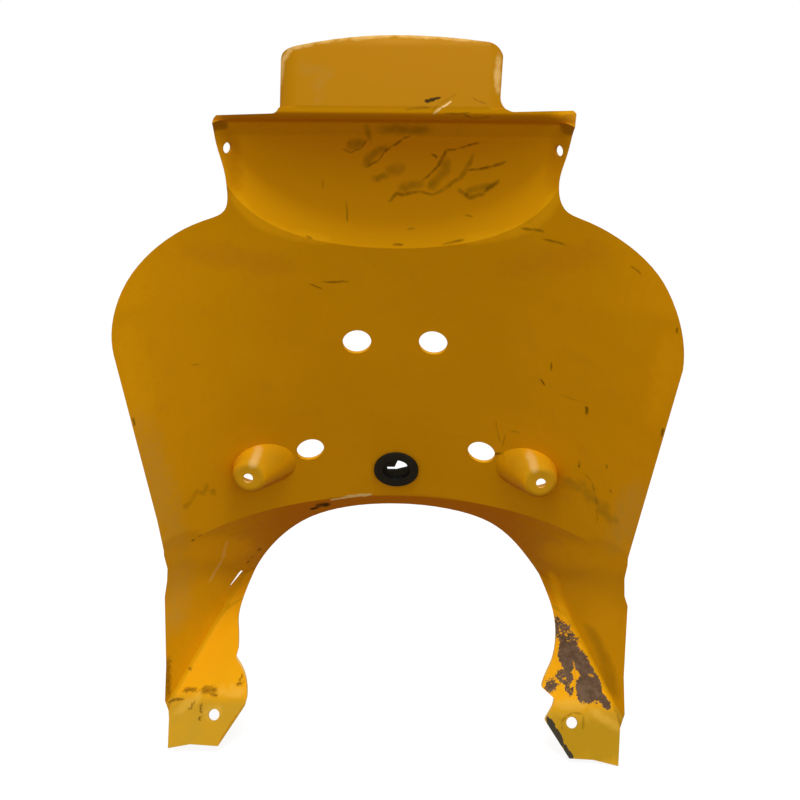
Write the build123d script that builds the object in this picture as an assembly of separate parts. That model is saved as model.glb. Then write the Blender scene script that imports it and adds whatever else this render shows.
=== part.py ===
"""Front fairing of a scooter: a one-piece moulded shell with a rubber cable grommet.

Millimetres. +Z is up, +Y is the way the vehicle drives, so the hollow side of the
shell faces -Y. The origin lies midway between the two foot screw holes.
"""
import math
import os

from build123d import *

# Wall of the moulding
WALL = 2.5

# Shield: it leans back towards the rider and is hollow to the rear
SHIELD_LEAN = 25.0
SHIELD_Y = 30.0
SHIELD_Z = 242.0
SHIELD_LOW_Z = -60.0
SHIELD_TOP_Z = 425.0
SHIELD_LOW_R = 180.0
SHIELD_TOP_R = 298.0
WING_X = 145.0
WING_R = 110.0

# Flare above the wheel: it turns forward from the foot of the shield
FLARE_LEAN = 40.0
FLARE_Y = 71.0
FLARE_Z = 154.0
FLARE_R = 195.0
FLARE_TOP_Z = 260.0

# Outer walls of the two legs, upright and turned in towards the wheel
LEG_WALL_X = 169.0
LEG_WALL_Y = 5.0
LEG_WALL_TURN = 63.0
LEG_WALL_TOP_Z = 140.0

# Ramps of the legs and the leaning foot plates under them
FOOT_LEAN = 30.0
FOLD_Z = 12.0
FOLD_R = 14.0
RAMP_SLOPE = 1.3

# Neck round the steering column, closed above by a curled shelf
NECK_Y = -24.6
NECK_LOW_Z = 300.0
NECK_LOW_R = 213.0
SHELF_Z = 441.0
NECK_TOP_R = 131.0
SHELF_CURL_R = 14.0

# Lip of the shelf and the tongue that stands on it
LIP_Y = -82.0
LIP_NOSE_R = 6.0
EAR_EDGE_Y = -88.0
EAR_LOW_Z = 384.0
TONGUE_LEAN = 19.3
TONGUE_LENGTH = 80.0
TONGUE_SIDE = 3.6
LIP_CORNER_DEPTH = 14.0
RIM_X = 56.0
RIM_TOP = 44.5
RIM_LOW = 7.0
RIM_R = 14.0
RIM_TURN = 75.0

# Rear limit of the hollow, behind every edge of the shell
BACK_Y = -300.0

# Round holes in the shield
UPPER_HOLE_X = 26.6
UPPER_HOLE_Z = 290.5
LOWER_HOLE_X = 64.0
LOWER_HOLE_Z = 203.8
RACK_HOLE_R = 10.0

# Cable grommet
GROMMET_Z = 180.3
GROMMET_HOLE_R = 13.0
GROMMET_FLANGE_R = 17.0
GROMMET_CLEAR = 0.15

# Screw bosses
BOSS_X = 105.7
BOSS_Z = 188.3
BOSS_END_Y = 6.0
BOSS_BASE_X = 93.6
BOSS_BASE_Z = 200.4
BOSS_BASE_Y = 62.0
BOSS_END_R = 11.5
BOSS_BASE_R = 31.3
BOSS_ROUND_R = 5.0
BOSS_HOLE_R = 3.5

# Ear and foot screw holes
EAR_HOLE_X = 99.8
EAR_HOLE_Y = -66.0
EAR_HOLE_Z = 423.8
EAR_HOLE_TURN = 45.0
EAR_HOLE_R = 3.4
FOOT_HOLE_X = 136.0
FOOT_HOLE_R = 4.2


def tan(degrees):
    """Tangent of an angle in degrees."""
    return math.tan(math.radians(degrees))


def cos(degrees):
    """Cosine of an angle in degrees."""
    return math.cos(math.radians(degrees))


def sin(degrees):
    """Sine of an angle in degrees."""
    return math.sin(math.radians(degrees))


def at_bearing(center_x, center_y, radius, bearing):
    """Point on a circle, with the bearing counted from +Y towards +X."""
    return (center_x + radius * sin(bearing), center_y + radius * cos(bearing))


def shield_section(z, mid_y, radius, grow):
    """Level section of the shield: one wide arc and a tighter arc along each wing."""
    turn = math.degrees(math.asin(WING_X / radius))
    main_y = mid_y - radius
    wing_x = (radius - WING_R) * sin(turn)
    wing_y = main_y + (radius - WING_R) * cos(turn)
    main_r = radius + grow
    wing_r = WING_R + grow
    middle = ThreePointArc(
        at_bearing(0, main_y, main_r, -turn),
        at_bearing(0, main_y, main_r, 0),
        at_bearing(0, main_y, main_r, turn),
    )
    right = ThreePointArc(
        middle @ 1,
        at_bearing(wing_x, wing_y, wing_r, (turn + 86) / 2),
        at_bearing(wing_x, wing_y, wing_r, 86),
    )
    left = mirror(right, Plane.YZ)
    end = right @ 1
    close = Polyline((end.X, end.Y), (end.X, BACK_Y), (-end.X, BACK_Y), (-end.X, end.Y))
    return Pos(0, 0, z) * make_face([middle, right, left, close])


def arc_section(z, mid_y, radius, grow, reach):
    """Level section bounded in front by one arc and open to the rear."""
    center_y = mid_y - radius
    arc = ThreePointArc(
        at_bearing(0, center_y, radius + grow, -reach),
        at_bearing(0, center_y, radius + grow, 0),
        at_bearing(0, center_y, radius + grow, reach),
    )
    end = arc @ 1
    close = Polyline((end.X, end.Y), (end.X, BACK_Y), (-end.X, BACK_Y), (-end.X, end.Y))
    return Pos(0, 0, z) * make_face([arc, close])


def shield_hollow(grow):
    """Hollow of the leaning shield and its wings."""
    step = grow / cos(SHIELD_LEAN)
    low_y = SHIELD_Y + (SHIELD_Z - SHIELD_LOW_Z) * tan(SHIELD_LEAN)
    top_y = SHIELD_Y + (SHIELD_Z - SHIELD_TOP_Z) * tan(SHIELD_LEAN)
    low = shield_section(SHIELD_LOW_Z, low_y, SHIELD_LOW_R, step)
    top = shield_section(SHIELD_TOP_Z, top_y, SHIELD_TOP_R, step)
    return loft([low, top], ruled=True)


def flare_hollow(grow):
    """Hollow of the flare over the wheel."""
    step = grow / cos(FLARE_LEAN)
    low_y = FLARE_Y + (FLARE_Z - SHIELD_LOW_Z) * tan(FLARE_LEAN)
    top_y = FLARE_Y + (FLARE_Z - FLARE_TOP_Z) * tan(FLARE_LEAN)
    low = arc_section(SHIELD_LOW_Z, low_y, FLARE_R, step, 86)
    top = arc_section(FLARE_TOP_Z, top_y, FLARE_R, step, 86)
    return loft([low, top], ruled=True)


def leg_wall_block(grow):
    """Block outside the outer wall of the right leg."""
    along = Vector(-cos(LEG_WALL_TURN), sin(LEG_WALL_TURN))
    foot = Vector(LEG_WALL_X, LEG_WALL_Y) + grow * Vector(sin(LEG_WALL_TURN), cos(LEG_WALL_TURN))
    near = foot - 320 * along
    far = foot + 290 * along
    outline = Polyline((near.X, near.Y), (far.X, far.Y), (500, far.Y), (500, near.Y), close=True)
    height = LEG_WALL_TOP_Z - SHIELD_LOW_Z + 20
    return Pos(0, 0, SHIELD_LOW_Z - 10) * extrude(make_face(outline), height)


def ramp_block(grow):
    """Block in front of the leg ramps and of the leaning foot plates."""
    foot_slope = tan(FOOT_LEAN)
    foot_step = grow * math.hypot(1, foot_slope)
    ramp_step = grow * math.hypot(1, RAMP_SLOPE)
    fold_z = FOLD_Z + (foot_step - ramp_step) / (RAMP_SLOPE - foot_slope)
    fold_y = foot_slope * fold_z + foot_step
    low_z = SHIELD_LOW_Z - 10
    top_z = LEG_WALL_TOP_Z
    outline = Polyline(
        (foot_slope * low_z + foot_step, low_z),
        (fold_y, fold_z),
        (fold_y + RAMP_SLOPE * (top_z - fold_z), top_z),
        (400, top_z),
        (400, low_z),
        close=True,
    )
    face = make_face(outline)
    fold = face.vertices().sort_by_distance((fold_y, fold_z))[0]
    return extrude(Plane.YZ * fillet(fold, FOLD_R - grow), 300, both=True)


def neck_hollow(grow):
    """Hollow of the neck, closed above by the curled shelf."""
    low = arc_section(NECK_LOW_Z, NECK_Y, NECK_LOW_R, grow, 90)
    top = arc_section(SHELF_Z + grow, NECK_Y, NECK_TOP_R, grow, 90)
    hollow = loft([low, top], ruled=True)
    crown = hollow.faces().sort_by(Axis.Z)[-1]
    rim = crown.edges().sort_by(Axis.Y)[1:]
    return fillet(rim, SHELF_CURL_R + grow)


def tongue_plane():
    """Plane square to the rising line of the tongue, with its second axis pointing forward."""
    rise = (0, sin(TONGUE_LEAN), cos(TONGUE_LEAN))
    return Plane(origin=(0, LIP_Y, SHELF_Z), x_dir=(1, 0, 0), z_dir=rise)


def tongue_half():
    """Half width of the lip: the neck at the lip and a little to each side."""
    depth = NECK_TOP_R - (NECK_Y - LIP_Y)
    return math.sqrt(NECK_TOP_R**2 - depth**2) + TONGUE_SIDE


def behind_tongue(low_z, top_z, near_x, far_x, grow):
    """Space behind the leaning plane of the tongue, between two heights and two widths."""
    step = grow / cos(TONGUE_LEAN)
    low_y = LIP_Y + step + (low_z - SHELF_Z) * tan(TONGUE_LEAN)
    top_y = LIP_Y + step + (top_z - SHELF_Z) * tan(TONGUE_LEAN)
    outline = Polyline((BACK_Y, low_z), (low_y, low_z), (top_y, top_z), (BACK_Y, top_z), close=True)
    return Pos(near_x, 0, 0) * extrude(Plane.YZ * make_face(outline), far_x - near_x)


def tongue_hollow(grow):
    """Space behind the shelf lip and the tongue."""
    half = tongue_half() + grow
    return behind_tongue(SHELF_Z - 1, SHELF_Z + TONGUE_LENGTH, -half, half, grow)


def lip_corner_hollow(grow):
    """Space behind the corner where the lip runs down into the right ear."""
    half = tongue_half()
    return behind_tongue(SHELF_Z - SHELF_CURL_R, SHELF_Z + 4, half - LIP_CORNER_DEPTH, half + grow, grow)


def rim_hollow(grow):
    """Space opened by the rims of the tongue, which roll away to the front."""
    radius = RIM_R - grow
    roll = CenterArc((0, RIM_R), radius, -90, RIM_TURN)
    close = Polyline(roll @ 1, (RIM_R * sin(RIM_TURN), -30), (0, -30), (0, grow))
    profile = make_face([roll, close])
    section = tongue_plane() * (Pos(RIM_X, 0) * profile)
    rise = Vector(0, sin(TONGUE_LEAN), cos(TONGUE_LEAN))
    right = Pos(rise * RIM_LOW) * extrude(section, TONGUE_LENGTH - RIM_LOW - 5)
    top_plane = Plane(origin=Vector(0, LIP_Y, SHELF_Z) + rise * RIM_TOP, x_dir=rise, z_dir=(-1, 0, 0))
    top = extrude(top_plane * profile, RIM_X + RIM_R, both=True)
    return right + mirror(right, Plane.YZ) + top


def on_nose(edge):
    """True for the edge between the underside of the shelf and the tongue."""
    middle = edge.center()
    return abs(middle.Y - LIP_Y) < 5 and abs(middle.Z - SHELF_Z) < 5 and edge.length > 100


def hollow(grow):
    """Whole hollow of the fairing, pushed out by grow on every face."""
    lower = shield_hollow(grow) + flare_hollow(grow)
    wall = leg_wall_block(grow)
    lower = lower - wall - mirror(wall, Plane.YZ)
    lower = lower - ramp_block(grow)
    upper = neck_hollow(grow) + tongue_hollow(grow)
    nose = upper.edges().filter_by(Axis.X).filter_by(on_nose)
    upper = fillet(nose, LIP_NOSE_R - grow)
    corner = lip_corner_hollow(grow)
    return lower + upper + rim_hollow(grow) + corner + mirror(corner, Plane.YZ)


def edge_right():
    """Right edge of the moulding from the tongue down to the foot, seen from the rear."""
    half = tongue_half()
    crown = ThreePointArc((0, 489.6), (28, 488.8), (56, 485.9))
    corner = TangentArc(crown @ 1, (65, 478), tangent=crown % 1)
    side = Line(corner @ 1, (63.6, 455))
    root = TangentArc(side @ 1, (72, 446.2), tangent=side % 1)
    lip = Polyline(root @ 1, (half - 6, 447.2), (half - 4.2, 445.5))
    ear = Spline(
        lip @ 1,
        (half - 5.8, 431),
        (half - 7.4, 421),
        (half - 10.1, 409),
        (half - 10, 398),
        (106.8, 387.8),
        (118.4, 382),
        (140.5, 370.8),
        (160.2, 353.8),
        (168.1, 342.2),
    )
    tip = TangentArc(ear @ 1, (180.5, 293), tangent=ear % 1)
    wing = Polyline(tip @ 1, (171.1, 173), (168.4, 138), (170, 103), (172, 97), (172.4, 40))
    foot = Polyline(wing @ 1, (174.2, 11), (172.2, -3), (170, -26.4), (151.2, -22.9), (133.5, -22.4))
    return [crown, corner, side, root, lip, ear, tip, wing, foot]


def edge_left():
    """Left edge of the moulding, a little warped against the right one."""
    half = tongue_half()
    crown = ThreePointArc((0, 489.6), (-26, 488.1), (-47, 485))
    corner = Spline(crown @ 1, (-60, 482.2), (-66.8, 475), tangents=[crown % 1, (-0.05, -1)])
    side = Line(corner @ 1, (-66.6, 449))
    root = TangentArc(side @ 1, (-71, 444.2), tangent=side % 1)
    lip = Polyline(root @ 1, (8.5 - half, 443), (6.8 - half, 441))
    ear = Spline(
        lip @ 1,
        (6.6 - half, 425),
        (9.2 - half, 411),
        (10 - half, 398),
        (-105, 385.4),
        (-117.2, 379.4),
        (-140.4, 367.5),
        (-159, 349.6),
        (-166.5, 337.4),
    )
    tip = TangentArc(ear @ 1, (-175.2, 296), tangent=ear % 1)
    wing = Polyline(tip @ 1, (-167.7, 163), (-166.8, 136), (-168.4, 107), (-170, 95), (-171, 40))
    foot = Polyline(wing @ 1, (-172.5, 12), (-170.2, -3), (-169.4, -21.8), (-152.7, -19), (-131.4, -19.8))
    return [crown, corner, side, root, lip, ear, tip, wing, foot]


def arch_right():
    """Right half of the wheel arch down to the broken corner above the foot."""
    arch = Spline(
        (0, 144.2),
        (42, 141),
        (75, 130.5),
        (104, 100),
        (119, 75.5),
        (127.6, 49),
        (123.4, 33.5),
        (114, 19.8),
        tangents=[(1, 0), (-0.5, -1)],
    )
    break_edge = Polyline(arch @ 1, (123.4, 14.2), (121.5, 10), (115.6, 1.2), (133.5, -22.4))
    return [arch, break_edge]


def arch_left():
    """Left half of the wheel arch with the piece broken out above the foot."""
    arch = Spline(
        (0, 144.2),
        (-42, 141),
        (-69, 132.5),
        (-102.5, 103),
        (-118.5, 76),
        (-126, 52),
        (-122.8, 35.5),
        tangents=[(-1, 0), (0.1, -1)],
    )
    notch = Polyline(arch @ 1, (-123.8, 31), (-118.6, 26.5))
    bulge = ThreePointArc(notch @ 1, (-113.6, 19.6), (-111.5, 10.5))
    toe = Polyline(bulge @ 1, (-112.6, 6.2), (-131.4, -19.8))
    return [arch, notch, bulge, toe]


def outline_prism():
    """Prism that cuts the shell to its outline."""
    face = make_face(edge_right() + edge_left() + arch_right() + arch_left())
    return extrude(Plane.XZ * face, 400, both=True)


def boss(side, grow):
    """Screw boss on one side, standing off the shield towards the rear."""
    end_plane = Plane(origin=(side * BOSS_X, BOSS_END_Y + grow, BOSS_Z), z_dir=(0, -1, 0))
    base_plane = Plane(origin=(side * BOSS_BASE_X, BOSS_BASE_Y, BOSS_BASE_Z), z_dir=(0, -1, 0))
    end = end_plane * Circle(BOSS_END_R - grow)
    base = base_plane * Circle(BOSS_BASE_R - grow)
    body = loft([base, end], ruled=True)
    rim = body.edges().sort_by(Axis.Y)[0]
    return fillet(rim, BOSS_ROUND_R - grow)


def shield_normal_plane(x, z):
    """Plane on the middle line of the shield, facing the rear, shifted sideways by x."""
    y = SHIELD_Y + (SHIELD_Z - z) * tan(SHIELD_LEAN)
    return Plane(origin=(x, y, z), x_dir=(1, 0, 0), z_dir=(0, -cos(SHIELD_LEAN), -sin(SHIELD_LEAN)))


def round_cut(plane, radius, depth):
    """Cylinder centred on a plane, used to drill a hole."""
    return extrude(plane * Circle(radius), depth, both=True)


def holes():
    """All round holes of the shell."""
    cuts = []
    for side in (-1, 1):
        cuts.append(round_cut(shield_normal_plane(side * UPPER_HOLE_X, UPPER_HOLE_Z), RACK_HOLE_R, 25))
        cuts.append(round_cut(shield_normal_plane(side * LOWER_HOLE_X, LOWER_HOLE_Z), RACK_HOLE_R, 25))
        end_plane = Plane(origin=(side * BOSS_X, BOSS_END_Y, BOSS_Z), z_dir=(0, -1, 0))
        cuts.append(round_cut(end_plane, BOSS_HOLE_R, 8))
        foot_axis = (0, -cos(FOOT_LEAN), sin(FOOT_LEAN))
        foot_plane = Plane(origin=(side * FOOT_HOLE_X, 0, 0), z_dir=foot_axis)
        cuts.append(round_cut(foot_plane, FOOT_HOLE_R, 8))
        ear_axis = (side * sin(EAR_HOLE_TURN), cos(EAR_HOLE_TURN), 0)
        ear_plane = Plane(origin=(side * EAR_HOLE_X, EAR_HOLE_Y, EAR_HOLE_Z), z_dir=ear_axis)
        cuts.append(round_cut(ear_plane, EAR_HOLE_R, 8))
    cuts.append(round_cut(shield_normal_plane(0, GROMMET_Z), GROMMET_HOLE_R, 25))
    return cuts


def crack():
    """Open crack in the left leg."""
    outline = Polyline((-127, 82), (-135.5, 72.5), (-134.5, 72), (-125.5, 80), close=True)
    return extrude(Plane.XZ * make_face(outline), 300, both=True)


def fairing_shell():
    """The whole moulding."""
    inner = hollow(0)
    outer = hollow(WALL)
    for side in (-1, 1):
        inner = inner - boss(side, 0)
        outer = outer - boss(side, WALL)
    shell = (outer - inner) & outline_prism()
    ear_cut = Pos(0, EAR_EDGE_Y - 50, EAR_LOW_Z + 50) * Box(260, 100, 100)
    shell = shell - ear_cut
    for cut in holes():
        shell = shell - cut
    return shell - crack()


def cable_grommet():
    """Rubber ring seated in the shield, with a torn web across it."""
    plane = shield_normal_plane(0, GROMMET_Z)
    disc = round_cut(plane, GROMMET_FLANGE_R, 30)
    barrel = round_cut(plane, GROMMET_HOLE_R - GROMMET_CLEAR, 30)
    rear = shield_hollow(-GROMMET_CLEAR) - shield_hollow(-GROMMET_CLEAR - 2.2)
    front = shield_hollow(WALL + GROMMET_CLEAR + 2) - shield_hollow(WALL + GROMMET_CLEAR)
    through = shield_hollow(WALL + GROMMET_CLEAR + 2) - shield_hollow(-GROMMET_CLEAR - 2.2)
    web = shield_hollow(1.8) - shield_hollow(0.3)
    bore = round_cut(plane, GROMMET_HOLE_R - 2.5, 30)
    ring = (disc & rear) + (disc & front) + (barrel & through) - bore
    torn = Polyline(
        (-7.5, 1.3),
        (-1.2, 1.3),
        (0.3, 5.5),
        (1.9, 9.5),
        (7, 6.5),
        (8.9, 1.3),
        (0.3, -2),
        (-6.7, -2),
        close=True,
    )
    tear = extrude(plane * make_face(torn), 30, both=True)
    return ring + (round_cut(plane, GROMMET_HOLE_R - 2, 30) & web) - tear


if __name__ == "__main__":
    os.makedirs("parts", exist_ok=True)
    shell = fairing_shell()
    grommet = cable_grommet()
    export_step(shell, "parts/fairing_shell.step")
    export_step(grommet, "parts/cable_grommet.step")
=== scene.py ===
import math

import bpy
from mathutils import Matrix, Vector


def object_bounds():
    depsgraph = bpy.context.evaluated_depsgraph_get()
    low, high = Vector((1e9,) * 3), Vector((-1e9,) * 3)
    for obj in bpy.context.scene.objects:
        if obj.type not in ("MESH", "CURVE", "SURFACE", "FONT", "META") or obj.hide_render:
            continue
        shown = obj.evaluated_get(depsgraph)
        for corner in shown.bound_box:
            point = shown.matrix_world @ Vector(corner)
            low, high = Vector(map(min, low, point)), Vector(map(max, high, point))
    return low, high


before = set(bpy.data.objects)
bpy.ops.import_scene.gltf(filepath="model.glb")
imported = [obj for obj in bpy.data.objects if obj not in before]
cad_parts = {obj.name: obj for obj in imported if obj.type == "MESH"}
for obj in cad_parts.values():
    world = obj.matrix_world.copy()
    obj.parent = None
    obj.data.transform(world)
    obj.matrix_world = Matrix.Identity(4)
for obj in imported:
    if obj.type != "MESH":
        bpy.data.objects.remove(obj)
cad_low, cad_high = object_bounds()
scene = bpy.context.scene

# Camera at the photograph's viewing angle
AZIMUTH = math.radians(1.52)
ELEVATION = math.radians(14.69)
ROLL = math.radians(0.47)
DISTANCE = 0.8026
FOCAL_PX = 1100.0
FRAME_PX = 800.0
CLIP_START = 0.01
SENSOR_MM = 36.0
TARGET = Vector((0.0032, 0.03, 0.2423))

# Studio: floor below the lowest point, sky brightness and overhead lamp
FLOOR_GAP = 0.0005
FLOOR_REACH = 6.0
FLOOR_BOUNCE = (0.28, 0.23, 0.13, 1)
FLOOR_PALE = (0.2, 0.2, 0.2, 1)
FLOOR_GLOW = 0.86
SKY_LOW = 0.33
SKY_HIGH = 1.0
SKY_STRENGTH = 0.9
SKY_LOW_AT = -0.1
SKY_HIGH_AT = 0.75
LAMP_PLACE = Vector((0.1, -0.7, 1.6))
LAMP_AIM = Vector((0.0, 0.0, 0.2))
LAMP_WIDTH = 0.6
LAMP_DEPTH = 0.5
LAMP_WATTS = 16.0

# Colours of the plastic, by region, with painted light and painted shade among them
YELLOW = (0.78, 0.355, 0.001, 1)
YELLOW_LIGHT = (0.83, 0.385, 0.002, 1)
YELLOW_DULL = (0.70, 0.32, 0.012, 1)
# Painted light: the neck's upright faces and the legs' creases lighter.
NECK_AND_CREASE_LIGHT = (0.90, 0.41, 0.002, 1)
# Painted shade: the tongue darker.
TONGUE_SHADE = (0.385, 0.165, 0.0003, 1)
# Painted shade: the lip band and the walls by the ears darker.
LIP_AND_EAR_SHADE = (0.60, 0.225, 0.001, 1)
# Darker orange: painted shade on the lip corners, and the tint of the left foot's bevel.
ORANGE_CORNER = (0.42, 0.17, 0.003, 1)
ORANGE_BODY = (0.68, 0.26, 0.01, 1)
# Painted shade: the flare's downward faces darker.
FLARE_SHADE = (0.62, 0.20, 0.0005, 1)
# Painted light on the neck's corners, the wing bands, the flare's sides and the right ramp's top.
PAINTED_LIGHT = (0.98, 0.47, 0.004, 1)
# Pale cut edges: partly edge wear, partly painted light on the lit edge thickness.
EDGE_WEAR_AND_LIGHT = (0.95, 0.66, 0.22, 1)
SHEEN_TINT = (1.0, 0.72, 0.4, 1)

# Colours of what has marked the plastic, of painted light, shade and sheen on it, and of the rubber
OLIVE_FOOT = (0.42, 0.235, 0.006, 1)
# Painted shade on the bosses' ends and sides.
BOSS_SHADE = (0.50, 0.26, 0.01, 1)
TONGUE_GREY = (0.36, 0.18, 0.02, 1)
# Painted light along the tongue's rolled rim.
TONGUE_RIM_LIGHT = (0.72, 0.47, 0.16, 1)
FOOT_DUST = (0.58, 0.325, 0.02, 1)
# Painted light along the feet's rounded folds, and a pale disc round the left foot's hole.
FOOT_PALE_AND_FOLD_LIGHT = (0.80, 0.47, 0.06, 1)
# Painted sheen: a dull pale veil on the wings and the left leg.
PAINTED_SHEEN = (0.66, 0.37, 0.06, 1)
SMEAR_OLIVE = (0.22, 0.12, 0.003, 1)
# Brown scuffs and smears, and painted shade on the right leg.
SCUFF_AND_SHADE_BROWN = (0.11, 0.045, 0.003, 1)
SCUFF_BLACK = (0.03, 0.016, 0.004, 1)
STAIN_GREEN = (0.34, 0.20, 0.01, 1)
# Pale marks, and painted highlights on the bosses' tops.
PALE_MARK_AND_HIGHLIGHT = (0.98, 0.74, 0.36, 1)
DIRT_BROWN = (0.10, 0.062, 0.037, 1)
DIRT_GREY = (0.165, 0.106, 0.068, 1)
BARE_BLACK = (0.055, 0.045, 0.03, 1)
RUBBER_BLACK = (0.009, 0.009, 0.009, 1)
RUBBER_DUSTY = (0.03, 0.026, 0.02, 1)

# Noises: scale per mm, detail, roughness
CLOUD = (0.012, 3.0, 0.5)
HAZE = (0.05, 5.0, 0.6)
RUB = (1.0, 5.0, 0.65)
WANDER = (0.1, 3.0, 0.6)
TEAR = (0.35, 4.0, 0.65)
SOFT_EDGE = (0.16, 3.0, 0.5)
TORN_EDGE = (0.5, 5.0, 0.65)
GRAIN = (0.9, 4.0, 0.6)
DIRT = (0.14, 5.0, 0.7)
RUBBER_DUST = (0.35, 5.0, 0.65)
RUBBER_GRAIN = (2.0, 3.0, 0.6)

# Shape of the noises: upright stretch of the rubs, middle value, spread of a stroke's soft edge
RUB_STRETCH = (0.22, 0.22, 0.025)
NOISE_MIDDLE = 0.5
SOFT_SPREAD = 2.5

# Finish: how far strokes wander in mm, sheen, and depth of the grain in m
WANDER_REACH = 3.0
TEAR_REACH = 5.0
SHELL_SHEEN = 0.08
SHELL_ROUGH = (0.36, 0.5)
WORN_ROUGH = 0.3
GRAIN_STRENGTH = 0.1
GRAIN_DEPTH = 0.0004
EDGE_SHARE = 0.6
RUBBER_SHEEN = 0.3
RUBBER_ROUGH = (0.5, 0.75)
RUBBER_GRAIN_STRENGTH = 0.2
RUBBER_GRAIN_DEPTH = 0.0003
MM_PER_M = 1000.0

# Parts of a face's direction that tell the hollow side, cut edges, and where the neck's painted light
# and the flare's painted shade go
INSIDE_FACING = (0.05, -0.1)
CUT_FACING = (0.03, 0.01)
NECK_RISE = (-0.38, -0.2)
FLARE_RISE = (-0.46, -0.62)

# Heights in mm that part the neck, the body and the legs
NECK_LOW = 320.0
LEG_TOP = 70.0
TONGUE_LOW = 446.0
LIP_LOW = 440.0

# Fades in mm between the regions' colours, and where the flare's painted shade thins out sideways
NECK_FADE = 12.0
FLARE_FADE = 20.0
TONGUE_FADE = 3.0
LIP_FADE = 2.0
LIP_TOP_FADE = 1.5
DUST_TOP = 16.0
DUST_LOW = 4.0
FLARE_MIDDLE_X = 80.0
FLARE_SIDE_X = 150.0
FLARE_SIDE_SHARE = 0.3

# Walls of the hollow side in mm, as the solid has them, and how wide its creases are rounded
SHIELD_LEAN = math.radians(25.0)
SHIELD_Y = 30.0
SHIELD_Z = 242.0
SHIELD_LOW_Z = -60.0
SHIELD_TOP_Z = 425.0
SHIELD_LOW_R = 180.0
SHIELD_TOP_R = 298.0
FLARE_LEAN = math.radians(40.0)
FLARE_Y = 71.0
FLARE_Z = 154.0
FLARE_R = 195.0
LEG_WALL_X = 169.0
LEG_WALL_Y = 5.0
LEG_WALL_TURN = math.radians(63.0)
FOOT_LEAN = math.radians(30.0)
FOLD_Z = 12.0
RAMP_SLOPE = 1.3
CREASE_SHARP = 0.8
CREASE_LEG = 3.5
CREASE_WIDE = 10.0
CREASE_MIDDLE_X = 115.0
CREASE_SIDE_X = 168.0
CREASE_LOW_Z = 70.0
CREASE_HIGH_Z = 95.0

# Wear, dirt, painted light and painted shade on the hollow side: strokes through points (x, z) in mm,
# each with its half width in mm
# Neck, lip and tongue
NECK_SMEARS = [
    ([(-7, 423), (-17, 417), (-18, 413)], 4.2),
    ([(-2, 409), (3, 410)], 5.0),
    ([(-4, 406), (-13, 404)], 3.3),
    ([(5, 398), (16, 401)], 4.6),
    ([(24, 400), (32, 409), (33, 414)], 4.6),
    ([(42, 405), (46, 411), (50, 420)], 2.3),
    ([(23, 394), (32, 398), (41, 405)], 1.8),
    ([(-18, 436), (-16, 429)], 2.8),
    ([(-9, 435), (22, 435)], 5.0),
    ([(46, 397), (63, 401)], 3.6),
    ([(-27, 425), (-22, 427)], 4.5),
]
NECK_SCUFFS = [
    ([(10, 431), (5, 429), (-2, 424), (-7, 420), (-11, 415), (-18, 411)], 1.0),
    ([(-3, 390), (1, 395), (6, 394)], 1.7),
    ([(6, 394), (16, 396), (23, 394.5)], 1.6),
    ([(18, 403), (23, 408), (28, 412)], 1.3),
    ([(28, 412), (30, 417), (33, 422)], 1.7),
    ([(33, 422), (39, 423), (54, 428)], 1.0),
    ([(42, 397), (49, 393)], 2.1),
    ([(48, 393), (58, 396)], 2.3),
    ([(57, 396), (66, 404)], 1.8),
    ([(47, 410), (54, 411)], 1.3),
    ([(53, 411), (62, 413), (70, 416.5)], 1.6),
    ([(27, 418), (24, 420)], 1.1),
    ([(81, 375), (95, 374)], 1.4),
    ([(95, 369), (108, 366)], 1.3),
    ([(31, 362), (46, 366)], 1.4),
    ([(0, 361.5), (6, 362)], 1.3),
    ([(-56, 367.5), (-53, 366.5)], 1.2),
    ([(147, 355), (153, 350.5)], 1.0),
    ([(-56, 334), (-48.5, 330)], 1.1),
    ([(-49, 335), (-30, 335.5)], 1.3),
]
NECK_LINES = [
    ([(-46, 404), (-45.5, 398)], 0.8),
    ([(-31, 391), (-30, 376)], 0.9),
    ([(9, 372), (13, 372.6)], 1.1),
    ([(46, 382), (51, 381)], 1.0),
    ([(-18, 429), (-22, 423), (-28, 420.5), (-33, 423)], 0.9),
    ([(29, 444.6), (46, 445.3)], 0.9),
    ([(41, 444.7), (47, 442.6), (58, 443.2)], 0.7),
    ([(38, 456.6), (34, 454.3), (28, 450.3), (23.5, 446.3)], 0.7),
    ([(22, 448.6), (13, 448), (8, 446.7)], 1.2),
    ([(47, 454.4), (51, 452.2), (55, 450.5)], 0.7),
]
TONGUE_BLACK = [
    ([(20, 452.2), (24, 452.8)], 1.4),
    ([(23, 452.8), (28, 454)], 1.0),
]
TONGUE_PALE = [([(24.5, 444.5), (29.5, 448), (34.5, 452)], 0.8)]
TONGUE_STAIN = [
    ([(-54, 470), (-38, 468)], 6.0),
    ([(-45, 466), (-42, 453)], 6.0),
]
# Painted light: lighter crescents at the neck's lower corners.
NECK_CORNER_LIGHT = [
    ([(-97, 394), (-92, 384), (-85, 377), (-67, 369), (-44, 365)], 5.5),
    ([(100, 396), (95, 386), (88, 378), (71, 370), (46, 366)], 5.5),
]
SHOULDERS = [
    ([(-125, 360), (-72, 347)], 13.0),
    ([(128, 362), (74, 347)], 13.0),
]
EAR_SHADES = [
    ([(-99, 433), (-97, 400)], 7.0),
    ([(101, 435), (98.5, 402)], 7.0),
]
# Painted light along the tongue's rolled rim.
TONGUE_EDGE_LIGHT = [
    ([(-66, 462), (-66, 474), (-60, 482), (-47, 485), (-26, 488), (0, 489.5)], 2.4),
    ([(0, 489.5), (28, 488.5), (54, 486)], 1.8),
    ([(62, 478), (62, 458)], 2.6),
]
# Painted shade: darker lip corners, whose faces the lamp lights from above.
LIP_CORNER_SHADE = [
    ([(-116, 440), (-104, 440)], 7.0),
    ([(104, 440), (118, 440)], 7.0),
]

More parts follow.
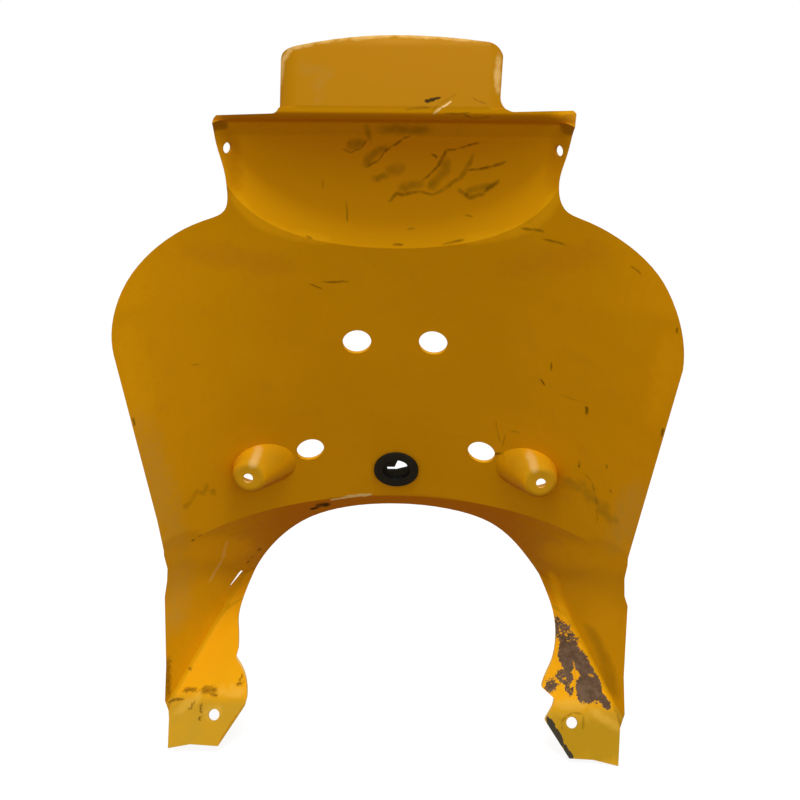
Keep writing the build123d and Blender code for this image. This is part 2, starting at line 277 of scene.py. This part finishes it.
# Shield, wings and flare
BODY_SCUFFS = [
    ([(132, 250.5), (132.4, 246)], 1.4),
    ([(131.7, 206.5), (132.2, 201)], 1.0),
    ([(148.5, 209), (149.3, 206.5)], 0.9),
    ([(153, 188.6), (153.8, 187)], 0.8),
    ([(74, 200), (78.5, 200.7)], 1.3),
    ([(-150.5, 135.5), (-149.5, 135.8)], 1.1),
    ([(-146, 137.4), (-145, 137.6)], 1.1),
    ([(-111.5, 102), (-110.5, 103)], 1.5),
    ([(-117.5, 95), (-117, 96)], 1.1),
    ([(-121, 90), (-120.5, 91)], 1.5),
    ([(-127.5, 78), (-127, 79)], 1.3),
    ([(107.5, 282), (108, 274.5)], 0.8),
    ([(101.5, 268), (104.5, 263)], 0.8),
]
BODY_SMEARS = [
    ([(-151, 167), (-147, 172), (-143.5, 178)], 2.8),
    ([(-143.5, 178), (-139.5, 174.5), (-137, 180.5)], 2.6),
    ([(-134, 175), (-133.5, 173)], 2.6),
]
EDGE_NICKS = [
    ([(175.3, 319.5), (175.2, 316)], 0.8),
    ([(175.8, 249.3), (175.4, 243.2)], 0.9),
    ([(-171.2, 248.4), (-170.9, 242.1)], 0.9),
]
BODY_LINES = [
    ([(136.5, 196), (141, 192), (144, 183.5), (146.5, 173), (148, 155.5)], 0.8),
    ([(72.5, 230), (77, 209)], 0.8),
    ([(80, 220), (79, 204.5)], 0.8),
    ([(79, 204.5), (81, 196)], 0.8),
    ([(83.5, 222), (90.5, 221.4)], 0.8),
    ([(-137, 280), (-130, 280)], 0.9),
    ([(112, 257.6), (134, 254)], 0.6),
]
BODY_BLACK = [
    ([(-61.5, 146.1), (-54, 146.2)], 3.2),
    ([(-66.5, 142), (-62, 143.7)], 2.1),
]
BODY_STAIN = [
    ([(126, 186), (139, 183)], 7.5),
    ([(140, 179), (148, 174)], 7.0),
    ([(150, 169), (156, 164)], 6.0),
]
BODY_PALE = [
    ([(-51, 150.6), (-44, 152.2), (-36.5, 153.7)], 1.1),
    ([(-40, 153.3), (-20, 155)], 1.7),
]
# Painted light: lighter bands along the wings' out-turned edges.
WING_BAND_LIGHT = [
    ([(-167, 312), (-168, 240)], 13.0),
    ([(174, 312), (172, 250)], 11.0),
]
# Painted light: the flare's sides lighter, blending into the legs.
FLARE_SIDE_LIGHT = [
    ([(-167, 132), (-130, 111)], 21.0),
    ([(130, 112), (170, 135)], 21.0),
]
# Painted light on the right ramp's curled top.
RIGHT_RAMP_TOP_LIGHT = [([(126, 84), (131, 70), (138, 56)], 5.0)]
# Painted sheen on the left wing and leg and on the right wing.
BODY_SHEEN = [
    ([(-168, 250), (-160, 120)], 13.0),
    ([(-160, 120), (-166, 66)], 11.0),
    ([(168, 200), (160, 140)], 10.0),
]
# Painted shade: darker boss ends and sides.
BOSS_END_SHADE = [
    ([(-106.5, 188.3), (-105, 188.3)], 11.5),
    ([(105, 188.3), (106.5, 188.3)], 11.5),
]
BOSS_SIDE_SHADE = [
    ([(-108, 197), (-90, 200)], 11.0),
    ([(90, 200), (108, 197)], 11.0),
]
# Painted highlight: pale patches on the bosses' tops.
BOSS_HIGHLIGHTS = [
    ([(-102, 199), (-100, 205)], 4.5),
    ([(98, 205), (101, 199)], 4.5),
]
BODY_STREAK = [([(-130.5, 123), (-137, 102), (-146, 87)], 1.2)]

# Right leg
RIGHT_DIRT = [
    ([(134.5, 38), (140, 37)], 6.0),
    ([(132, 36), (135.5, 31)], 4.3),
    ([(144.5, 34), (153, 23)], 5.8),
    ([(147, 19), (153, 19.5)], 7.3),
    ([(157.5, 16.5), (163, 11.5)], 3.0),
    ([(134, 31), (136, 24.5)], 3.0),
]
RIGHT_SPECKS = [
    ([(119.7, 20.4), (123, 21.4)], 3.3),
    ([(128.5, 25.4), (131, 26.5)], 3.0),
    ([(132.2, 22.5), (133.6, 21)], 2.2),
    ([(135, 18.2), (136, 18)], 2.2),
    ([(129, 54), (128.4, 47)], 2.8),
    ([(132.8, 51.2), (136.7, 50.2)], 2.8),
    ([(132, 45), (135, 42.8)], 3.5),
    ([(139.3, 45.5), (142.2, 43)], 2.8),
]
RIGHT_CLEAN = [
    ([(139.5, 33), (140.5, 28.5), (139.7, 21)], 0.6),
    ([(151, 26.3), (154, 25.8)], 0.9),
]
# Painted light: a pale band along the right foot's rounded fold.
RIGHT_FOLD_LIGHT = [
    ([(124, 11.5), (146, 10.5)], 4.5),
    ([(150, 9), (170, -2)], 4.5),
]
# Painted shade: the right leg darker towards its bottom along the crease.
RIGHT_SHADE = [([(153, 57), (158, 49), (163, 39), (166.5, 22)], 7.0)]
# Painted light: a lighter band beside the ramp's crease.
RIGHT_CREASE_LIGHT = [([(136, 68), (148, 45), (159, 23), (167, 9)], 4.5)]
RIGHT_PLATE = [([(128, -10), (168, -12)], 17.0)]
RIGHT_BEVEL = [
    ([(117.5, 2.6), (128.3, -12.9)], 2.7),
    ([(131, -15.7), (135, -21.8)], 2.2),
]
RIGHT_RING = [
    ([(128.5, -4), (128.6, 0.3), (131.7, 4)], 1.0),
    ([(131.7, 4), (137, 6), (143, 5.6)], 1.0),
    ([(144.5, 5.6), (144.3, -4.5)], 1.1),
]

# Left leg
LEFT_SMUDGE = [
    ([(-161, 14.5), (-151, 14.6)], 1.7),
    ([(-146.5, 14.7), (-136.5, 14.8)], 3.0),
    ([(-138.5, 12.8), (-136, 11.7)], 2.0),
    ([(-170, 8), (-166, 9.4), (-160, 9.5)], 1.6),
    ([(-151, 8.4), (-156, 2.6)], 1.2),
    ([(-146.3, 6), (-146, 1.5)], 1.6),
    ([(-146.5, -2), (-146.3, -3)], 1.2),
    ([(-119, 20), (-116.4, 22)], 1.3),
    ([(-120.3, 18), (-115.7, 18.6)], 1.3),
    ([(-158.7, 25), (-158, 25)], 1.4),
]
# Painted light along the left foot's rounded fold; the last stroke is a pale disc round the foot's
# hole.
LEFT_FOLD_LIGHT_AND_DISC = [
    ([(-165, 1), (-149, 11)], 4.0),
    ([(-131, 14.5), (-116, 14)], 4.5),
    ([(-137.5, 1), (-136.5, 1)], 7.0),
]
# Painted light: a lighter band beside the ramp's crease.
LEFT_CREASE_LIGHT = [([(-136, 69), (-150, 47), (-161, 28.5), (-167, 20)], 4.5)]
LEFT_BEVEL = [([(-112, 7), (-131, -19)], 2.0)]
LEFT_EDGE = [([(-170, 47), (-171, 11)], 2.4)]


class Tree:
    """Short names for building a material's nodes."""

    def __init__(self, tree):
        self.tree = tree

    def node(self, kind, **values):
        made = self.tree.nodes.new(kind)
        for key, value in values.items():
            setattr(made, key, value)
        return made

    def put(self, socket, value):
        if isinstance(value, bpy.types.NodeSocket):
            self.tree.links.new(value, socket)
        elif value is not None:
            socket.default_value = value

    def math(self, operation, *values, clamp=False):
        made = self.node("ShaderNodeMath", operation=operation, use_clamp=clamp)
        for socket, value in zip(made.inputs, values):
            self.put(socket, value)
        return made.outputs[0]

    def vec(self, operation, a, b=None, scale=None):
        made = self.node("ShaderNodeVectorMath", operation=operation)
        self.put(made.inputs[0], a)
        self.put(made.inputs[1], b)
        self.put(made.inputs[3], scale)
        return made.outputs[1 if operation == "DOT_PRODUCT" else 0]

    def split(self, vector):
        made = self.node("ShaderNodeSeparateXYZ")
        self.put(made.inputs[0], vector)
        return made.outputs

    def join(self, x, y, z):
        made = self.node("ShaderNodeCombineXYZ")
        for socket, value in zip(made.inputs, (x, y, z)):
            self.put(socket, value)
        return made.outputs[0]

    def step(self, value, low, high, out_low=0.0, out_high=1.0):
        made = self.node("ShaderNodeMapRange", interpolation_type="SMOOTHSTEP")
        self.put(made.inputs["Value"], value)
        self.put(made.inputs["From Min"], low)
        self.put(made.inputs["From Max"], high)
        self.put(made.inputs["To Min"], out_low)
        self.put(made.inputs["To Max"], out_high)
        return made.outputs["Result"]

    def noise(self, vector, scale, detail, rough, out="Fac"):
        made = self.node("ShaderNodeTexNoise")
        self.put(made.inputs["Vector"], vector)
        self.put(made.inputs["Scale"], scale)
        self.put(made.inputs["Detail"], detail)
        self.put(made.inputs["Roughness"], rough)
        return made.outputs[out]

    def mix(self, factor, a, b):
        made = self.node("ShaderNodeMix", data_type="RGBA")
        self.put(made.inputs[0], factor)
        self.put(made.inputs[6], a)
        self.put(made.inputs[7], b)
        return made.outputs[2]

    def choose(self, factor, a, b):
        made = self.node("ShaderNodeMixShader")
        self.put(made.inputs[0], factor)
        self.put(made.inputs[1], a)
        self.put(made.inputs[2], b)
        return made.outputs[0]


def nearest(t, place, marks):
    """How far out of the nearest stroke a place (x, z, 1) is: 0 on its middle line, 1 at its edge."""
    best = None
    for points, half_width in marks:
        for a, b in zip(points[:-1], points[1:]):
            run = Vector(b) - Vector(a)
            middle = (Vector(a) + Vector(b)) / 2
            half_length = run.length / 2 + half_width
            x, z = run.normalized()
            along = (x / half_length, z / half_length, -(x * middle.x + z * middle.y) / half_length)
            across = (-z / half_width, x / half_width, (z * middle.x - x * middle.y) / half_width)
            u = t.vec("DOT_PRODUCT", place, along)
            v = t.vec("DOT_PRODUCT", place, across)
            u_square = t.math("MULTIPLY", u, u)
            v_square = t.math("MULTIPLY", v, v)
            far = t.math("MULTIPLY_ADD", u_square, u_square, v_square)
            best = far if best is None else t.math("MINIMUM", best, far)
    return best


class Shell:
    """Golden-yellow moulded plastic, worn and smeared on its hollow side, with light and shade painted
    there too.
    """

    def __init__(self):
        self.material = bpy.data.materials.new("shell_yellow_plastic")
        self.material.use_nodes = True
        self.material.node_tree.nodes.clear()
        t = self.t = Tree(self.material.node_tree)
        where = t.node("ShaderNodeNewGeometry")
        self.place = t.vec("SCALE", where.outputs["Position"], scale=MM_PER_M)
        self.x, self.y, self.z = t.split(self.place)
        facing = t.split(where.outputs["True Normal"])
        self.inside = t.step(facing["Y"], *INSIDE_FACING)
        cut_face = t.step(t.math("ABSOLUTE", facing["Y"]), *CUT_FACING)

        middle = (NOISE_MIDDLE, NOISE_MIDDLE, NOISE_MIDDLE)
        wander = t.vec("SUBTRACT", t.noise(self.place, *WANDER, out="Color"), middle)
        self.smooth_place = self.moved(t.split(wander), WANDER_REACH)
        tear = t.vec("SUBTRACT", t.noise(self.place, *TEAR, out="Color"), middle)
        self.torn_place = self.moved(t.split(tear), TEAR_REACH)
        soft = t.noise(self.place, *SOFT_EDGE)
        self.soft = t.math("MULTIPLY_ADD", soft, SOFT_SPREAD, -SOFT_SPREAD * NOISE_MIDDLE)
        self.fine = t.math("SUBTRACT", t.noise(self.place, *TORN_EDGE), NOISE_MIDDLE)
        self.haze = t.noise(self.place, *HAZE)

        base = t.mix(t.step(t.noise(self.place, *CLOUD), 0.3, 0.7), YELLOW, YELLOW_LIGHT)
        base = t.mix(t.step(self.haze, 0.5, 0.75, 0.0, 0.25), base, YELLOW_DULL)
        stretched = t.vec("MULTIPLY", self.place, RUB_STRETCH)
        base = t.mix(t.step(t.noise(stretched, *RUB), 0.55, 0.75, 0.0, 0.3), base, YELLOW_DULL)
        dust = t.step(self.haze, 0.3, 0.6, 0.75, 1.0)
        base = t.mix(t.math("MULTIPLY", t.step(self.z, DUST_TOP, DUST_LOW), dust), base, FOOT_DUST)
        # Painted light on the neck, painted shade on the flare, tongue and lip.
        for share, tone in self.regions(facing["Z"]):
            base = t.mix(t.math("MULTIPLY", share, self.inside), base, tone)
        # Pale cut edges: partly edge wear, partly painted light on the lit edge thickness.
        self.base = t.mix(t.math("MULTIPLY", cut_face, EDGE_SHARE), base, EDGE_WEAR_AND_LIGHT)

        grain = t.node("ShaderNodeBump")
        grain.inputs["Strength"].default_value = GRAIN_STRENGTH
        grain.inputs["Distance"].default_value = GRAIN_DEPTH
        t.put(grain.inputs["Height"], t.noise(self.place, *GRAIN))
        t.put(grain.inputs["Normal"], self.rounded_normal(where.outputs["Normal"]))
        self.normal = grain.outputs["Normal"]

    def regions(self, rise):
        """Share and colour of painted light on the neck and painted shade on the flare, tongue and lip,
        found by height and by lean.
        """
        t = self.t
        above = t.step(self.z, NECK_LOW, NECK_LOW + NECK_FADE)
        neck = t.math("MULTIPLY", t.step(rise, *NECK_RISE), above)
        below = t.step(self.z, NECK_LOW, NECK_LOW - FLARE_FADE)
        out = t.math("ABSOLUTE", self.x)
        middle = t.step(out, FLARE_MIDDLE_X, FLARE_SIDE_X, 1.0, FLARE_SIDE_SHARE)
        flare = t.math("MULTIPLY", t.math("MULTIPLY", t.step(rise, *FLARE_RISE), below), middle)
        tongue = t.step(self.z, TONGUE_LOW - TONGUE_FADE, TONGUE_LOW + TONGUE_FADE)
        lip_top = t.step(self.z, TONGUE_LOW, TONGUE_LOW - LIP_TOP_FADE)
        lip = t.math("MULTIPLY", t.step(self.z, LIP_LOW - LIP_FADE, LIP_LOW), lip_top)
        return [(neck, NECK_AND_CREASE_LIGHT), (flare, FLARE_SHADE), (tongue, TONGUE_SHADE), (lip, LIP_AND_EAR_SHADE)]

    def round_wall(self, middle_y, lean, radius, spread):
        """Gap to a leaning round wall, given by its values at z = 0, and the direction into it."""
        t = self.t
        run = math.tan(lean)
        center_y = t.math("MULTIPLY_ADD", self.z, -run - spread, middle_y - radius)
        depth = t.math("SUBTRACT", self.y, center_y)
        reach = t.math("SQRT", t.math("MULTIPLY_ADD", self.x, self.x, t.math("MULTIPLY", depth, depth)))
        gap = t.math("SUBTRACT", reach, t.math("MULTIPLY_ADD", self.z, spread, radius))
        forward = t.math("DIVIDE", depth, reach)
        rise = t.math("MULTIPLY_ADD", forward, run + spread, -spread)
        into = t.vec("NORMALIZE", t.join(t.math("DIVIDE", self.x, reach), forward, rise))
        return t.math("MULTIPLY", gap, math.cos(lean)), into

    def flat_wall(self, point, into):
        """Gap to a flat wall of the right leg or its mirror image, and the direction into it."""
        t = self.t
        into = into.normalized()
        half = t.join(t.math("ABSOLUTE", self.x), self.y, self.z)
        gap = t.math("SUBTRACT", t.vec("DOT_PRODUCT", half, into), point.dot(into))
        side = t.math("SIGN", self.x)
        return gap, t.join(t.math("MULTIPLY", side, into.x), into.y, into.z)

    def rounded_normal(self, plain):
        """The surface's own normal, turned smoothly through each crease where two walls meet."""
        t = self.t
        spread = (SHIELD_TOP_R - SHIELD_LOW_R) / (SHIELD_TOP_Z - SHIELD_LOW_Z)
        shield_y = SHIELD_Y + SHIELD_Z * math.tan(SHIELD_LEAN)
        flare_y = FLARE_Y + FLARE_Z * math.tan(FLARE_LEAN)
        fold = Vector((0, FOLD_Z * math.tan(FOOT_LEAN), FOLD_Z))
        foot = Vector((LEG_WALL_X, LEG_WALL_Y, 0))
        leg_out = Vector((math.sin(LEG_WALL_TURN), math.cos(LEG_WALL_TURN), 0))
        out = t.math("ABSOLUTE", self.x)
        side_width = t.step(out, CREASE_MIDDLE_X, CREASE_SIDE_X, CREASE_SHARP, CREASE_WIDE)
        leg_width = t.step(self.z, CREASE_LOW_Z, CREASE_HIGH_Z, CREASE_LEG, CREASE_WIDE)
        shield_r = SHIELD_LOW_R - SHIELD_LOW_Z * spread
        walls = [
            (side_width, self.round_wall(shield_y, SHIELD_LEAN, shield_r, spread)),
            (side_width, self.round_wall(flare_y, FLARE_LEAN, FLARE_R, 0.0)),
            (leg_width, self.flat_wall(foot, leg_out)),
            (CREASE_LEG, self.flat_wall(fold, Vector((0, 1, -RAMP_SLOPE)))),
        ]
        total = (0.0, 0.0, 0.0)
        count = 0.0
        for width, (gap, into) in walls:
            near = t.step(t.math("ABSOLUTE", gap), width, 0.0)
            total = t.vec("ADD", t.vec("SCALE", into, scale=near), total)
            count = t.math("ADD", near, count)
        turned = t.vec("SCALE", t.vec("NORMALIZE", total), scale=-1.0)
        agree = t.step(t.vec("DOT_PRODUCT", turned, plain), 0.5, 0.7)
        share = t.math("MULTIPLY", t.step(count, 1.0, 1.3), agree)
        own = t.vec("SCALE", plain, scale=t.math("SUBTRACT", 1.0, share))
        return t.vec("NORMALIZE", t.vec("ADD", own, t.vec("SCALE", turned, scale=share)))

    def moved(self, shift, reach):
        """The place (x, z, 1) in mm, wandering by a noise so that strokes are not straight."""
        t = self.t
        x = t.math("MULTIPLY_ADD", shift["X"], reach, self.x)
        z = t.math("MULTIPLY_ADD", shift["Z"], reach, self.z)
        return t.join(x, z, 1.0)

    def surface(self, *layers):
        """The plastic with layers of marks on it, wear and dirt as well as painted light and shade:
        (marks, colour, strength, softness, raggedness).
        """
        t = self.t
        colour = self.base
        worn = None
        for marks, tint, strength, soft, ragged in layers:
            far = nearest(t, self.torn_place if ragged > 1.0 else self.smooth_place, marks)
            far = t.math("MULTIPLY_ADD", self.fine if ragged > 1.0 else self.soft, ragged, far)
            mask = t.math("MULTIPLY", t.step(far, 1.0, 1.0 - soft, 0.0, strength), self.inside)
            colour = t.mix(mask, colour, tint)
            worn = mask if worn is None else t.math("MAXIMUM", worn, mask)
        shader = t.node("ShaderNodeBsdfPrincipled")
        t.put(shader.inputs["Base Color"], colour)
        rough = t.step(self.haze, 0.3, 0.7, *SHELL_ROUGH)
        t.put(shader.inputs["Roughness"], t.math("MULTIPLY_ADD", worn, WORN_ROUGH, rough, clamp=True))
        t.put(shader.inputs["Normal"], self.normal)
        shader.inputs["Specular IOR Level"].default_value = SHELL_SHEEN
        shader.inputs["Specular Tint"].default_value = SHEEN_TINT
        return shader.outputs["BSDF"]

    def build(self):
        """The four regions' surfaces, each with its own marks, joined by height and side."""
        t = self.t
        neck = self.surface(
            (SHOULDERS, ORANGE_BODY, 0.5, 1.6, 0.5),
            (NECK_CORNER_LIGHT, PAINTED_LIGHT, 0.9, 1.2, 0.2),
            (EAR_SHADES, LIP_AND_EAR_SHADE, 0.7, 1.5, 0.3),
            (LIP_CORNER_SHADE, ORANGE_CORNER, 0.9, 0.6, 0.3),
            (TONGUE_STAIN, TONGUE_GREY, 0.5, 1.6, 1.0),
            (TONGUE_EDGE_LIGHT, TONGUE_RIM_LIGHT, 0.6, 1.3, 0.8),
            (NECK_SMEARS, SMEAR_OLIVE, 0.75, 1.8, 0.5),
            (NECK_SCUFFS, SCUFF_AND_SHADE_BROWN, 0.85, 1.7, 0.5),
            (NECK_LINES, SCUFF_AND_SHADE_BROWN, 0.5, 1.5, 0.6),
            (TONGUE_BLACK, SCUFF_BLACK, 0.95, 0.7, 0.8),
            (TONGUE_PALE, PALE_MARK_AND_HIGHLIGHT, 0.5, 0.8, 0.4),
        )
        body = self.surface(
            (WING_BAND_LIGHT, PAINTED_LIGHT, 0.6, 1.7, 0.4),
            (FLARE_SIDE_LIGHT, PAINTED_LIGHT, 0.75, 1.2, 0.2),
            (RIGHT_RAMP_TOP_LIGHT, PAINTED_LIGHT, 1.0, 1.3, 0.1),
            (BODY_SHEEN, PAINTED_SHEEN, 0.6, 1.8, 0.6),
            (BOSS_SIDE_SHADE, BOSS_SHADE, 0.6, 1.2, 0.2),
            (BOSS_END_SHADE, BOSS_SHADE, 0.7, 0.6, 0.2),
            (BOSS_HIGHLIGHTS, PALE_MARK_AND_HIGHLIGHT, 0.38, 1.3, 0.3),
            (BODY_STAIN, STAIN_GREEN, 0.5, 1.5, 0.9),
            (BODY_SMEARS, SCUFF_AND_SHADE_BROWN, 0.42, 1.8, 0.8),
            (EDGE_NICKS, SCUFF_BLACK, 0.7, 1.2, 0.2),
            (BODY_SCUFFS, SCUFF_AND_SHADE_BROWN, 0.75, 1.4, 0.8),
            (BODY_LINES, SCUFF_AND_SHADE_BROWN, 0.35, 1.5, 0.6),
            (BODY_BLACK, SCUFF_BLACK, 0.95, 1.2, 0.5),
            (BODY_STREAK, PALE_MARK_AND_HIGHLIGHT, 0.25, 0.9, 0.3),
            (BODY_PALE, PALE_MARK_AND_HIGHLIGHT, 1.0, 0.6, 0.0),
        )
        brown = t.mix(t.step(t.noise(self.place, *DIRT), 0.35, 0.65), DIRT_BROWN, DIRT_GREY)
        right_leg = self.surface(
            (RIGHT_SHADE, SCUFF_AND_SHADE_BROWN, 0.5, 1.7, 0.2),
            (RIGHT_CREASE_LIGHT, NECK_AND_CREASE_LIGHT, 0.6, 1.7, 0.1),
            (RIGHT_RAMP_TOP_LIGHT, PAINTED_LIGHT, 1.0, 1.3, 0.1),
            (RIGHT_PLATE, OLIVE_FOOT, 0.7, 0.8, 0.4),
            (RIGHT_FOLD_LIGHT, FOOT_PALE_AND_FOLD_LIGHT, 0.5, 1.2, 0.8),
            (RIGHT_RING, SMEAR_OLIVE, 0.5, 1.2, 0.8),
            (RIGHT_DIRT, brown, 1.0, 0.2, 1.2),
            (RIGHT_SPECKS, brown, 1.0, 0.4, 7.0),
            (RIGHT_CLEAN, YELLOW_DULL, 0.7, 0.5, 0.4),
            (RIGHT_BEVEL, BARE_BLACK, 1.0, 0.3, 0.8),
        )
        left_leg = self.surface(
            (BODY_SHEEN, PAINTED_SHEEN, 0.6, 1.8, 0.6),
            (LEFT_CREASE_LIGHT, NECK_AND_CREASE_LIGHT, 0.6, 1.7, 0.1),
            (LEFT_FOLD_LIGHT_AND_DISC, FOOT_PALE_AND_FOLD_LIGHT, 0.5, 1.2, 0.8),
            (LEFT_SMUDGE, SCUFF_AND_SHADE_BROWN, 0.9, 1.5, 1.2),
            (LEFT_BEVEL, ORANGE_CORNER, 0.6, 0.8, 0.4),
            (LEFT_EDGE, SCUFF_AND_SHADE_BROWN, 0.75, 1.4, 1.2),
        )
        low = t.math("LESS_THAN", self.z, LEG_TOP)
        high = t.math("GREATER_THAN", self.z, NECK_LOW)
        right = t.math("GREATER_THAN", self.x, 0.0)
        legs = t.choose(right, left_leg, right_leg)
        out = t.node("ShaderNodeOutputMaterial")
        t.put(out.inputs["Surface"], t.choose(high, t.choose(low, body, legs), neck))
        return self.material


def rubber_material():
    """Matt black rubber with a fine grain."""
    material = bpy.data.materials.new("grommet_black_rubber")
    material.use_nodes = True
    t = Tree(material.node_tree)
    shader = material.node_tree.nodes["Principled BSDF"]
    where = t.node("ShaderNodeNewGeometry")
    place = t.vec("SCALE", where.outputs["Position"], scale=MM_PER_M)
    dust = t.noise(place, *RUBBER_DUST)
    colour = t.mix(t.step(dust, 0.45, 0.75), RUBBER_BLACK, RUBBER_DUSTY)
    t.put(shader.inputs["Base Color"], colour)
    t.put(shader.inputs["Roughness"], t.step(dust, 0.3, 0.7, *RUBBER_ROUGH))
    shader.inputs["Specular IOR Level"].default_value = RUBBER_SHEEN
    bump = t.node("ShaderNodeBump")
    bump.inputs["Strength"].default_value = RUBBER_GRAIN_STRENGTH
    bump.inputs["Distance"].default_value = RUBBER_GRAIN_DEPTH
    t.put(bump.inputs["Height"], t.noise(place, *RUBBER_GRAIN))
    t.put(shader.inputs["Normal"], bump.outputs["Normal"])
    return material


def dress(name, material):
    """Give a carried-over node its material."""
    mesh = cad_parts[name].data
    mesh.materials.clear()
    mesh.materials.append(material)


def floor_material():
    """Pale to the camera; the light that it throws back on the part is warm."""
    material = bpy.data.materials.new("floor_white")
    material.use_nodes = True
    material.node_tree.nodes.clear()
    t = Tree(material.node_tree)
    rays = t.node("ShaderNodeLightPath")
    plain = t.node("ShaderNodeBsdfDiffuse")
    plain.inputs["Color"].default_value = FLOOR_BOUNCE
    pale = t.node("ShaderNodeBsdfDiffuse")
    pale.inputs["Color"].default_value = FLOOR_PALE
    glow = t.node("ShaderNodeEmission")
    glow.inputs["Strength"].default_value = FLOOR_GLOW
    both = t.node("ShaderNodeAddShader")
    t.put(both.inputs[0], pale.outputs[0])
    t.put(both.inputs[1], glow.outputs[0])
    out = t.node("ShaderNodeOutputMaterial")
    seen = rays.outputs["Is Camera Ray"]
    t.put(out.inputs["Surface"], t.choose(seen, plain.outputs[0], both.outputs[0]))
    return material


def add_floor():
    """A plain floor just below the feet."""
    mesh = bpy.data.meshes.new("floor")
    z = cad_low[2] - FLOOR_GAP
    corners = [(-1, -1), (1, -1), (1, 1), (-1, 1)]
    mesh.from_pydata([(x * FLOOR_REACH, y * FLOOR_REACH, z) for x, y in corners], [], [(0, 1, 2, 3)])
    mesh.materials.append(floor_material())
    floor = bpy.data.objects.new("floor", mesh)
    scene.collection.objects.link(floor)


def add_camera():
    """The photograph's view, rolled a little about its own axis."""
    level_run = math.cos(ELEVATION)
    across = -math.sin(AZIMUTH) * level_run
    ahead = math.cos(AZIMUTH) * level_run
    forward = Vector((across, ahead, -math.sin(ELEVATION)))
    level = forward.cross(Vector((0, 0, 1))).normalized()
    upward = level.cross(forward)
    right = math.cos(ROLL) * level + math.sin(ROLL) * upward
    top = -math.sin(ROLL) * level + math.cos(ROLL) * upward
    data = bpy.data.cameras.new("camera")
    data.sensor_width = SENSOR_MM
    data.lens = FOCAL_PX / FRAME_PX * SENSOR_MM
    data.clip_start = CLIP_START
    camera = bpy.data.objects.new("camera", data)
    scene.collection.objects.link(camera)
    turn = Matrix((right, top, -forward)).transposed().to_4x4()
    camera.matrix_world = Matrix.Translation(TARGET - DISTANCE * forward) @ turn
    scene.camera = camera


def add_sky():
    """Soft light from all round, brighter from above; the camera sees it white."""
    world = bpy.data.worlds.new("studio")
    scene.world = world
    world.use_nodes = True
    world.node_tree.nodes.clear()
    t = Tree(world.node_tree)
    height = t.split(t.node("ShaderNodeTexCoord").outputs["Generated"])["Z"]
    sky = t.node("ShaderNodeBackground")
    dark = (SKY_LOW, SKY_LOW, SKY_LOW, 1)
    bright = (SKY_HIGH, SKY_HIGH, SKY_HIGH, 1)
    t.put(sky.inputs["Color"], t.mix(t.step(height, SKY_LOW_AT, SKY_HIGH_AT), dark, bright))
    sky.inputs["Strength"].default_value = SKY_STRENGTH
    white = t.node("ShaderNodeBackground")
    white.inputs["Color"].default_value = (1, 1, 1, 1)
    rays = t.node("ShaderNodeLightPath")
    out = t.node("ShaderNodeOutputWorld")
    seen = rays.outputs["Is Camera Ray"]
    t.put(out.inputs["Surface"], t.choose(seen, sky.outputs[0], white.outputs[0]))


def add_lamp():
    """One soft overhead lamp behind the camera's side of the part."""
    data = bpy.data.lights.new("overhead", "AREA")
    data.shape = "RECTANGLE"
    data.size = LAMP_WIDTH
    data.size_y = LAMP_DEPTH
    data.energy = LAMP_WATTS
    lamp = bpy.data.objects.new("overhead", data)
    scene.collection.objects.link(lamp)
    lamp.location = LAMP_PLACE
    lamp.rotation_euler = (LAMP_AIM - LAMP_PLACE).to_track_quat("-Z", "Y").to_euler()


dress("fairing_shell", Shell().build())
dress("cable_grommet", rubber_material())
add_floor()
add_camera()
add_sky()
add_lamp()
scene.view_settings.view_transform = "Standard"
